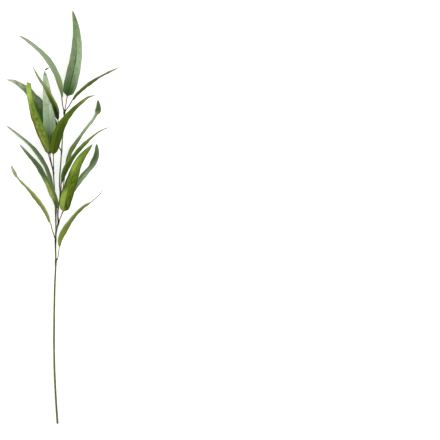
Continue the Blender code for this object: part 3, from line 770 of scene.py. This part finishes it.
def build_stem():
    pieces = [stem_tube("twig", LEFT_TWIG, left_twig_radius, TWIG_JOINTS)]
    pieces += [stub(leaf) for leaf in LEAVES]
    data = fused(stem_tube("main", MAIN_STEM, main_stem_radius, MAIN_JOINTS), pieces)
    data.name = "stem_bark"
    made = bpy.data.objects.new("stem_bark", data)
    bpy.context.scene.collection.objects.link(made)
    points = np.array([v.co for v in data.vertices]) / MM
    main = stem_route(MAIN_STEM, main_stem_radius)
    twig = stem_route(LEFT_TWIG, left_twig_radius)
    from_main, main_at = distance_to(points, main)
    from_twig, twig_at = distance_to(points, twig)
    beyond_main = from_main - np.array([main_stem_radius(y) for y in main.points[main_at, 1]])
    beyond_twig = from_twig - np.array([left_twig_radius(y) for y in twig.points[twig_at, 1]])
    off_stem = np.minimum(beyond_main, beyond_twig)
    on_stub = smoothstep((off_stem - STUB_STAIN_START) / STUB_STAIN_REACH)
    places = joint_places()
    gaps = np.array([np.linalg.norm(points - place, axis=1) for place, _ in places])
    darkness = np.array([dark for _, dark in places])[gaps.argmin(axis=0)]
    at_joint = np.exp(-(gaps.min(axis=0) / JOINT_STAIN_SPREAD) ** 2)
    set_values(made, "joint_stain", darkness * np.maximum(at_joint, on_stub))
    set_values(made, "stem_along", points[:, 1])
    set_values(made, "from_axis", from_main)
    smooth(made)
    return made


# The leaves


def blade_outline(leaf, share):
    """Half width of the blade as a share of its widest: rounded base, long taper to the tip."""
    if not 0 < share < 1:
        return 0.0
    taper = leaf.base_taper if share < leaf.widest else leaf.tip_taper
    place = share ** (math.log(0.5) / math.log(leaf.widest))
    return math.sin(math.pi * place) ** taper


def twist_at(leaf, share):
    """The blade's twist in degrees, easing from each given value to the next."""
    for (start, start_twist), (end, end_twist) in zip(leaf.twist, leaf.twist[1:]):
        if share <= end:
            passed = smoothstep((share - start) / (end - start))
            return start_twist + (end_twist - start_twist) * passed
    return leaf.twist[-1][1]


def columns_across():
    """Places across the blade from -1 to 1, closer together beside the midrib."""
    even = np.linspace(-1, 1, COLUMN_COUNT)
    return np.sign(even) * np.abs(even) ** COLUMN_CROWDING


COLUMNS = columns_across()


def vein_phase(along, across, half_width):
    """Counts the side veins up the blade. A vein runs where the count is a whole number."""
    reach = np.abs(across)
    start = along - VEIN_SLANT * reach - VEIN_BEND * reach ** 2 / max(half_width, 1.0)
    wander = VEIN_WANDER * np.sin(2 * math.pi * start / VEIN_WANDER_LENGTH)
    return start / VEIN_SPACING + wander + RIGHT_VEIN_OFFSET * (across > 0)


def stalk_section(radius):
    """Points of a round stalk, in the order of the blade's points: top, then underneath."""
    count = 2 * COLUMN_COUNT
    step = 2 * math.pi / count
    angles = math.pi - step * (np.arange(count) + 0.5)
    return np.stack([radius * np.cos(angles), radius * np.sin(angles)], axis=1)


def blade_half_width(leaf, share, phase):
    width = leaf.half_width * blade_outline(leaf, share)
    ripple = math.sin(2 * math.pi * (OUTLINE_WAVES_PER_BLADE * share + phase))
    return max(width * (1 + OUTLINE_WAVE * ripple), TIP_HALF_WIDTH)


def blade_section(leaf, share, phase, along):
    """Points across the blade: its top from left to right, then underneath back again."""
    half_width = blade_half_width(leaf, share, phase)
    across = half_width * COLUMNS
    lift = leaf.cup * half_width * np.abs(COLUMNS) ** CUP_POWER
    middle = math.sin(math.pi * share)
    turn = WAVES_PER_BLADE * share + phase + RIGHT_EDGE_PHASE * (COLUMNS > 0)
    lift += EDGE_WAVE * np.sin(2 * math.pi * turn) * COLUMNS ** 2 * middle
    fine = FINE_WAVES_PER_BLADE * share + 2 * phase + RIGHT_EDGE_PHASE * (COLUMNS > 0)
    lift += FINE_WAVE * np.sin(2 * math.pi * fine) * np.abs(COLUMNS) ** 3 * middle
    veins = np.cos(2 * math.pi * vein_phase(along, across, half_width))
    body = np.abs(COLUMNS) * (1 - COLUMNS ** 4) * middle
    lift -= math.copysign(PUCKER, leaf.cup) * veins * body
    thickness = EDGE_THICKNESS + (FLESH_THICKNESS - EDGE_THICKNESS) * (1 - COLUMNS ** THINNING_POWER)
    taper = (1 - share) ** RIDGE_TAPER_POWER
    ridge_half_width = RIDGE_HALF_WIDTH * (RIDGE_WIDTH_AT_TIP + (1 - RIDGE_WIDTH_AT_TIP) * taper)
    ridge = RIDGE_HEIGHT * taper * np.exp(-(across / ridge_half_width) ** 2)
    groove = GROOVE_DEPTH * taper * np.exp(-(across / GROOVE_HALF_WIDTH) ** 2)
    upper_up = leaf.shows == "upper side"
    top = lift + thickness / 2 + (-groove if upper_up else ridge)
    under = lift - thickness / 2 + (-ridge if upper_up else groove)
    top_row = np.stack([across, top], axis=1)
    under_row = np.stack([across, under], axis=1)
    return np.concatenate([top_row, under_row[::-1]])


def leaf_section(leaf, share, phase, along, stalk_radius):
    spread = smoothstep(share / SPREAD_SHARE)
    round_part = stalk_section(stalk_radius)
    if spread == 0:
        return round_part
    return (1 - spread) * round_part + spread * blade_section(leaf, share, phase, along)


def blade_shares():
    """Places along the blade, closer together towards its base and its tip."""
    plain = np.linspace(0, 1, BLADE_STATIONS + 1)
    crowded = 0.5 - 0.5 * np.cos(math.pi * plain)
    return (1 - RING_CROWDING) * plain + RING_CROWDING * crowded


def paint_faces(piece, leaf, upper, underside):
    """Puts the upper side's material on the leaf's upper side and the other one on its underside."""
    piece.data.materials.append(upper)
    piece.data.materials.append(underside)
    top_is_upper = leaf.shows == "upper side"
    for face in piece.data.polygons:
        on_top = all((v % (2 * COLUMN_COUNT)) < COLUMN_COUNT for v in face.vertices)
        face.material_index = 0 if on_top == top_is_upper else 1


# What the materials read at each of the blade's points
BLADE_VALUES = ["blade_share", "blade_side", "rib_distance", "blade_along", "vein_phase"]


def build_leaf(leaf, phase, upper, underside):
    route = Route(smooth_points(leaf.spine))
    blade_start = route.nearest(leaf.spine[leaf.base])
    blade_length = route.length - blade_start
    stalk_start = leaf.stub - STALK_SINK
    stalk_count = round((blade_start - stalk_start) / STALK_STEP)
    stalk = np.linspace(stalk_start, blade_start, stalk_count + 1)[:-1]
    shares = np.concatenate([np.zeros(stalk_count), blade_shares()])
    distances = np.concatenate([stalk, blade_start + blade_shares() * blade_length])
    rings = []
    values = {name: [] for name in BLADE_VALUES}
    side_of_point = np.concatenate([COLUMNS, COLUMNS[::-1]])
    for distance, share in zip(distances, shares):
        centre = route.point(distance)
        side, up = route.frame(distance)
        twist = math.radians(twist_at(leaf, share))
        across = math.cos(twist) * side + math.sin(twist) * up
        out = math.cos(twist) * up - math.sin(twist) * side
        along = distance - blade_start
        foot = STALK_FOOT * bell(distance - stalk_start, STALK_FOOT_REACH)
        section = leaf_section(leaf, share, phase, along, STALK_RADIUS + foot)
        rings.append(centre + section[:, :1] * across + section[:, 1:] * out)
        half_width = blade_half_width(leaf, share, phase)
        count = len(section)
        values["blade_share"].append(np.full(count, share))
        values["blade_side"].append(side_of_point if share > 0 else np.zeros(count))
        values["rib_distance"].append(np.abs(section[:, 0]))
        values["blade_along"].append(np.full(count, along))
        values["vein_phase"].append(vein_phase(along, side_of_point * half_width, half_width))
    last = 2 * COLUMN_COUNT - 1
    cap = [(i, i + 1, last - i - 1, last - i) for i in range(COLUMN_COUNT - 1)]
    made = skinned(leaf.name + "_blade", rings, cap, cap)
    for name, rows in values.items():
        set_values(made, name, np.concatenate(rows))
    paint_faces(made, leaf, upper, underside)
    smooth(made)
    return made


# Materials


def linear(screen):
    """Light value of a screen value from 0 to 255."""
    share = screen / 255
    return share / 12.92 if share <= 0.04045 else ((share + 0.055) / 1.055) ** 2.4


def pigment(name):
    return tuple(max(linear(value) / STUDIO_GAIN - SKIN_GLOSS, 0.0) for value in PIGMENTS[name]) + (1.0,)


class Graph:
    """A node tree with short ways to add to it. Any input takes a socket or a plain value."""

    def __init__(self, tree):
        self.tree = tree

    def put(self, target, value):
        if isinstance(value, bpy.types.NodeSocket):
            self.tree.links.new(value, target)
        else:
            target.default_value = value

    def add(self, kind, inputs=(), **settings):
        node = self.tree.nodes.new(kind)
        for name, value in settings.items():
            setattr(node, name, value)
        for name, value in dict(inputs).items():
            self.put(node.inputs[name], value)
        return node

    def value(self, name):
        return self.add("ShaderNodeAttribute", attribute_name=name).outputs["Fac"]

    def math(self, operation, first, second=None):
        inputs = {0: first} if second is None else {0: first, 1: second}
        return self.add("ShaderNodeMath", inputs, operation=operation).outputs[0]

    def times(self, first, second):
        return self.math("MULTIPLY", first, second)

    def fade(self, value, start, end, low=0.0, high=1.0):
        """Goes smoothly from low to high while the value goes from start to end."""
        inputs = {"Value": value, "From Min": start, "From Max": end, "To Min": low, "To Max": high}
        return self.add("ShaderNodeMapRange", inputs, interpolation_type="SMOOTHSTEP").outputs["Result"]

    def mix(self, share, first, second, blend="MIX"):
        node = self.add("ShaderNodeMix", data_type="RGBA", blend_type=blend)
        self.put(node.inputs[0], share)
        self.put(node.inputs[6], first)
        self.put(node.inputs[7], second)
        return node.outputs[2]

    def ramp(self, share, stops):
        node = self.add("ShaderNodeValToRGB", {"Fac": share})
        elements = node.color_ramp.elements
        elements[0].position, elements[0].color = stops[0][0], pigment(stops[0][1])
        elements[1].position, elements[1].color = stops[-1][0], pigment(stops[-1][1])
        for place, name in stops[1:-1]:
            elements.new(place).color = pigment(name)
        return node.outputs["Color"]

    def group(self, tree, inputs=()):
        node = self.add("ShaderNodeGroup", node_tree=tree)
        for name, value in dict(inputs).items():
            self.put(node.inputs[name], value)
        return node.outputs


def new_group(name, inputs, outputs):
    """A shader node group with number inputs (name, value) and number outputs."""
    tree = bpy.data.node_groups.new(name, "ShaderNodeTree")
    for label, value in inputs:
        socket = tree.interface.new_socket(label, in_out="INPUT", socket_type="NodeSocketFloat")
        socket.default_value = value
    for label in outputs:
        tree.interface.new_socket(label, in_out="OUTPUT", socket_type="NodeSocketFloat")
    graph = Graph(tree)
    return graph, graph.add("NodeGroupInput").outputs, graph.add("NodeGroupOutput").inputs


def side_vein_group():
    """Thin lines where a side vein runs, fading towards the edge."""
    graph, given, result = new_group("Side veins", [("Half width", 0.1), ("Reach", 0.9)], ["Mask"])
    count = graph.value("vein_phase")
    part = graph.math("FRACT", graph.math("ADD", count, 0.5))
    off_line = graph.math("ABSOLUTE", graph.math("SUBTRACT", part, 0.5))
    line = graph.fade(off_line, 0.0, given["Half width"], 1.0, 0.0)
    side = graph.math("ABSOLUTE", graph.value("blade_side"))
    fade_start = graph.times(given["Reach"], VEIN_FADE_START)
    inside = graph.fade(side, fade_start, given["Reach"], 1.0, 0.0)
    on_blade = graph.fade(graph.value("blade_share"), *VEINS_BEGIN)
    graph.put(result["Mask"], graph.times(graph.times(line, inside), on_blade))
    return graph.tree


def midrib_group():
    """The midrib's line, narrower towards the tip."""
    graph, given, result = new_group("Midrib", [("Half width", 0.6), ("Softness", 0.5)], ["Mask"])
    share = graph.value("blade_share")
    taper = graph.fade(share, 0.0, 1.0, 1.0, MIDRIB_AT_TIP)
    width = graph.times(given["Half width"], taper)
    far = graph.math("ADD", width, given["Softness"])
    graph.put(result["Mask"], graph.fade(graph.value("rib_distance"), width, far, 1.0, 0.0))
    return graph.tree


def blotch_group():
    """Soft blotches, longer along the blade than across it."""
    inputs = [("Size", 6.0), ("Stretch", 2.5), ("Softness", 0.12), ("Level", 0.5), ("Seed", 0.0)]
    graph, given, result = new_group("Blotches", inputs, ["Mask"])
    across = graph.times(graph.value("rib_distance"), graph.math("SIGN", graph.value("blade_side")))
    length = graph.times(given["Size"], given["Stretch"])
    place = graph.add("ShaderNodeCombineXYZ", {
        "X": graph.math("DIVIDE", graph.value("blade_along"), length),
        "Y": graph.math("DIVIDE", across, given["Size"]),
        "Z": given["Seed"],
    }).outputs["Vector"]
    noise = graph.add("ShaderNodeTexNoise", {
        "Vector": place, "Scale": 1.0, "Detail": 3.0, "Roughness": 0.6})
    low = graph.math("SUBTRACT", given["Level"], given["Softness"])
    high = graph.math("ADD", given["Level"], given["Softness"])
    graph.put(result["Mask"], graph.fade(noise.outputs["Fac"], low, high))
    return graph.tree


def edge_group():
    """Bands along the left and the right edge."""
    graph, given, result = new_group("Edge bands", [("Start", 0.7), ("End", 1.0)], ["Left", "Right"])
    side = graph.value("blade_side")
    graph.put(result["Right"], graph.fade(side, given["Start"], given["End"]))
    graph.put(result["Left"], graph.fade(graph.times(side, -1.0), given["Start"], given["End"]))
    return graph.tree


def grain_group():
    """Fine relief of a plant's skin, with pores."""
    inputs = [("Grain size", 0.5), ("Pore size", 0.9)]
    graph, given, result = new_group("Skin grain", inputs, ["Height", "Pores"])
    place = graph.add("ShaderNodeTexCoord").outputs["Object"]
    grain = graph.add("ShaderNodeTexNoise", {
        "Vector": place,
        "Scale": graph.math("DIVIDE", 1.0 / MM, given["Grain size"]),
        "Detail": 4.0,
    })
    cells = graph.add("ShaderNodeTexVoronoi", {
        "Vector": place,
        "Scale": graph.math("DIVIDE", 1.0 / MM, given["Pore size"]),
    })
    pores = graph.fade(cells.outputs["Distance"], 0.1, 0.3, 1.0, 0.0)
    height = graph.math("SUBTRACT", grain.outputs["Fac"], graph.times(pores, PORE_DEPTH))
    graph.put(result["Height"], height)
    graph.put(result["Pores"], pores)
    return graph.tree


GROUPS = {
    "veins": side_vein_group(),
    "midrib": midrib_group(),
    "blotches": blotch_group(),
    "edges": edge_group(),
    "grain": grain_group(),
}


def new_material(name):
    material = bpy.data.materials.new(name)
    material.use_nodes = True
    graph = Graph(material.node_tree)
    shader = material.node_tree.nodes["Principled BSDF"]
    return material, graph, shader


def leaf_material(name, look, stalk, seed, face):
    """One face of one leaf."""
    material, graph, shader = new_material(name)
    share = graph.value("blade_share")
    side = graph.value("blade_side")
    left = graph.ramp(share, look.left)
    right = graph.ramp(share, look.right)
    colour = graph.mix(graph.fade(side, -HALVES_BLEND, HALVES_BLEND), left, right)

    large = graph.group(GROUPS["blotches"], {**LARGE_BLOTCHES, "Seed": seed})["Mask"]
    small = graph.group(GROUPS["blotches"], {**SMALL_BLOTCHES, "Seed": seed + SMALL_BLOTCH_SEED})["Mask"]
    colour = graph.mix(graph.times(large, look.blotch_weight), colour, pigment(look.blotch))
    shade = graph.mix(1.0, colour, SMALL_BLOTCH_SHADE, "MULTIPLY")
    colour = graph.mix(graph.times(small, SMALL_BLOTCH_WEIGHT), colour, shade)

    edges = graph.group(GROUPS["edges"], EDGE_BAND)
    for label, edge in (("Left", look.left_edge), ("Right", look.right_edge)):
        shown = graph.times(edges[label], look.edge_weight)
        tint = graph.ramp(share, edge) if isinstance(edge, list) else pigment(edge)
        colour = graph.mix(shown, colour, tint)

    veins = graph.group(GROUPS["veins"], {"Half width": face.vein_width})["Mask"]
    vein_tint = graph.mix(1.0, colour, face.vein_tint, "MULTIPLY")
    colour = graph.mix(graph.times(veins, face.vein_weight), colour, vein_tint)

    rib = graph.group(GROUPS["midrib"], MIDRIB_LINE)["Mask"]
    start, end = look.rib_reach
    begun = graph.fade(share, start - MIDRIB_START_FADE, start + MIDRIB_START_FADE)
    weight = graph.fade(share, end - MIDRIB_END_FADE, end + MIDRIB_END_FADE, look.rib_weight, 0.0)
    colour = graph.mix(graph.times(rib, graph.times(begun, weight)), colour, pigment(look.rib))

    near_base = graph.fade(graph.value("blade_along"), 0.0, STALK_COLOUR_REACH, 1.0, 0.0)
    near_rib = graph.fade(graph.value("rib_distance"), *STALK_COLOUR_FADE, 1.0, 0.0)
    colour = graph.mix(graph.times(near_base, near_rib), colour, pigment(stalk))
    graph.put(shader.inputs["Base Color"], colour)

    graph.put(shader.inputs["Roughness"], graph.fade(small, 0.0, 1.0, face.smooth, face.rough))
    shader.inputs["Specular IOR Level"].default_value = face.specular

    skin = graph.group(GROUPS["grain"], LEAF_SKIN)["Height"]
    vein_height = graph.times(veins, face.vein_relief)
    height = graph.math("ADD", graph.times(skin, LEAF_SKIN_RELIEF), vein_height)
    bump = graph.add("ShaderNodeBump", {**LEAF_RELIEF, "Height": height})
    graph.put(shader.inputs["Normal"], bump.outputs["Normal"])
    return material


def bark_material():
    """Smooth green bark, paler upward and dark at the joints, with long grain and pale specks."""
    material, graph, shader = new_material("bark")
    along = graph.value("stem_along")
    share = graph.fade(along, *BARK_SPAN)
    colour = graph.ramp(share, BARK_STOPS)
    place = graph.add("ShaderNodeTexCoord").outputs["Object"]
    stretched = graph.add("ShaderNodeMapping", {"Vector": place, "Scale": BARK_GRAIN_SCALE})
    grain = graph.add("ShaderNodeTexNoise", {
        "Vector": stretched.outputs["Vector"], "Scale": 1.0, "Detail": 4.0}).outputs["Fac"]
    patches = graph.add("ShaderNodeTexNoise", {
        "Vector": place, "Scale": BARK_PATCH_SCALE, "Detail": 2.0}).outputs["Fac"]
    colour = graph.mix(graph.fade(patches, 0.5, 0.68, 0.0, 0.35), colour, pigment("bark straw"))
    colour = graph.mix(graph.fade(grain, 0.5, 0.7, 0.0, 0.55), colour, pigment("bark shade"))
    specks = graph.group(GROUPS["grain"], BARK_SKIN)
    colour = graph.mix(graph.times(specks["Pores"], 0.35), colour, pigment("bark straw"))
    colour = graph.mix(graph.value("joint_stain"), colour, pigment("dark brown"))
    graph.put(shader.inputs["Base Color"], colour)
    graph.put(shader.inputs["Roughness"], graph.fade(grain, 0.3, 0.7, 0.45, 0.68))
    shader.inputs["Specular IOR Level"].default_value = 0.1
    height = graph.math("ADD", grain, graph.times(specks["Height"], BARK_SKIN_RELIEF))
    bump = graph.add("ShaderNodeBump", {**BARK_RELIEF, "Height": height})
    graph.put(shader.inputs["Normal"], bump.outputs["Normal"])
    return material


# The studio


def build_floor():
    corners = [(-1, -1), (1, -1), (1, 1), (-1, 1)]
    data = bpy.data.meshes.new("floor")
    points = [(x * FLOOR_HALF_WIDTH, y * FLOOR_HALF_WIDTH, 0) for x, y in corners]
    data.from_pydata(points, [], [(0, 1, 2, 3)])
    floor = bpy.data.objects.new("floor", data)
    bpy.context.scene.collection.objects.link(floor)
    material, _, shader = new_material("floor paint")
    shader.inputs["Base Color"].default_value = (FLOOR_SCREEN, FLOOR_SCREEN, FLOOR_SCREEN, 1)
    shader.inputs["Roughness"].default_value = FLOOR_ROUGHNESS
    shader.inputs["Specular IOR Level"].default_value = 0.0
    shader.inputs["Emission Color"].default_value = (1, 1, 1, 1)
    shader.inputs["Emission Strength"].default_value = FLOOR_GLOW
    data.materials.append(material)


def sun(name, strength, angle, towards):
    """A soft light from far away. towards points from the branch to the light."""
    light = bpy.data.lights.new(name, "SUN")
    light.energy = strength
    light.angle = math.radians(angle)
    made = bpy.data.objects.new(name, light)
    made.rotation_mode = "QUATERNION"
    made.rotation_quaternion = Vector(towards).to_track_quat("Z", "Y")
    bpy.context.scene.collection.objects.link(made)


def build_lights():
    world = bpy.data.worlds.new("studio")
    world.use_nodes = True
    background = world.node_tree.nodes["Background"]
    background.inputs["Color"].default_value = (1.0, 1.0, 1.0, 1)
    background.inputs["Strength"].default_value = SKY_STRENGTH
    bpy.context.scene.world = world
    sun("key", KEY_STRENGTH, KEY_ANGLE, KEY_SIDE)
    bpy.context.scene.view_settings.view_transform = "Standard"


def build_camera():
    camera = bpy.data.cameras.new("camera")
    camera.lens = LENS
    camera.sensor_width = SENSOR
    camera.clip_end = CAMERA_REACH
    made = bpy.data.objects.new("camera", camera)
    made.location = (*PICTURE_MIDDLE, PICTURE_WIDTH * LENS / SENSOR)
    bpy.context.scene.collection.objects.link(made)
    bpy.context.scene.camera = made


def dress():
    build_camera()
    build_floor()
    build_lights()
    stem = build_stem()
    stem.data.materials.clear()
    stem.data.materials.append(bark_material())
    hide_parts("stem")
    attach(stem, "root")
    for number, leaf in enumerate(LEAVES):
        shows_upper = leaf.shows == "upper side"
        look = LOOKS[leaf.name]
        stalk = STALKS.get(leaf.name, "stalk brown")
        seed = number * NEXT_LEAF_SEED
        upper_look = look if shows_upper else HIDDEN_UPPER
        underside_look = HIDDEN_UNDERSIDE if shows_upper else look
        upper = leaf_material(leaf.name + "_upper", upper_look, stalk, seed, UPPER_FACE)
        underside = leaf_material(leaf.name + "_underside", underside_look, stalk, seed, UNDERSIDE_FACE)
        blade = build_leaf(leaf, number * NEXT_LEAF_PHASE, upper, underside)
        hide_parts(leaf.name)
        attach(blade, "root")


dress()
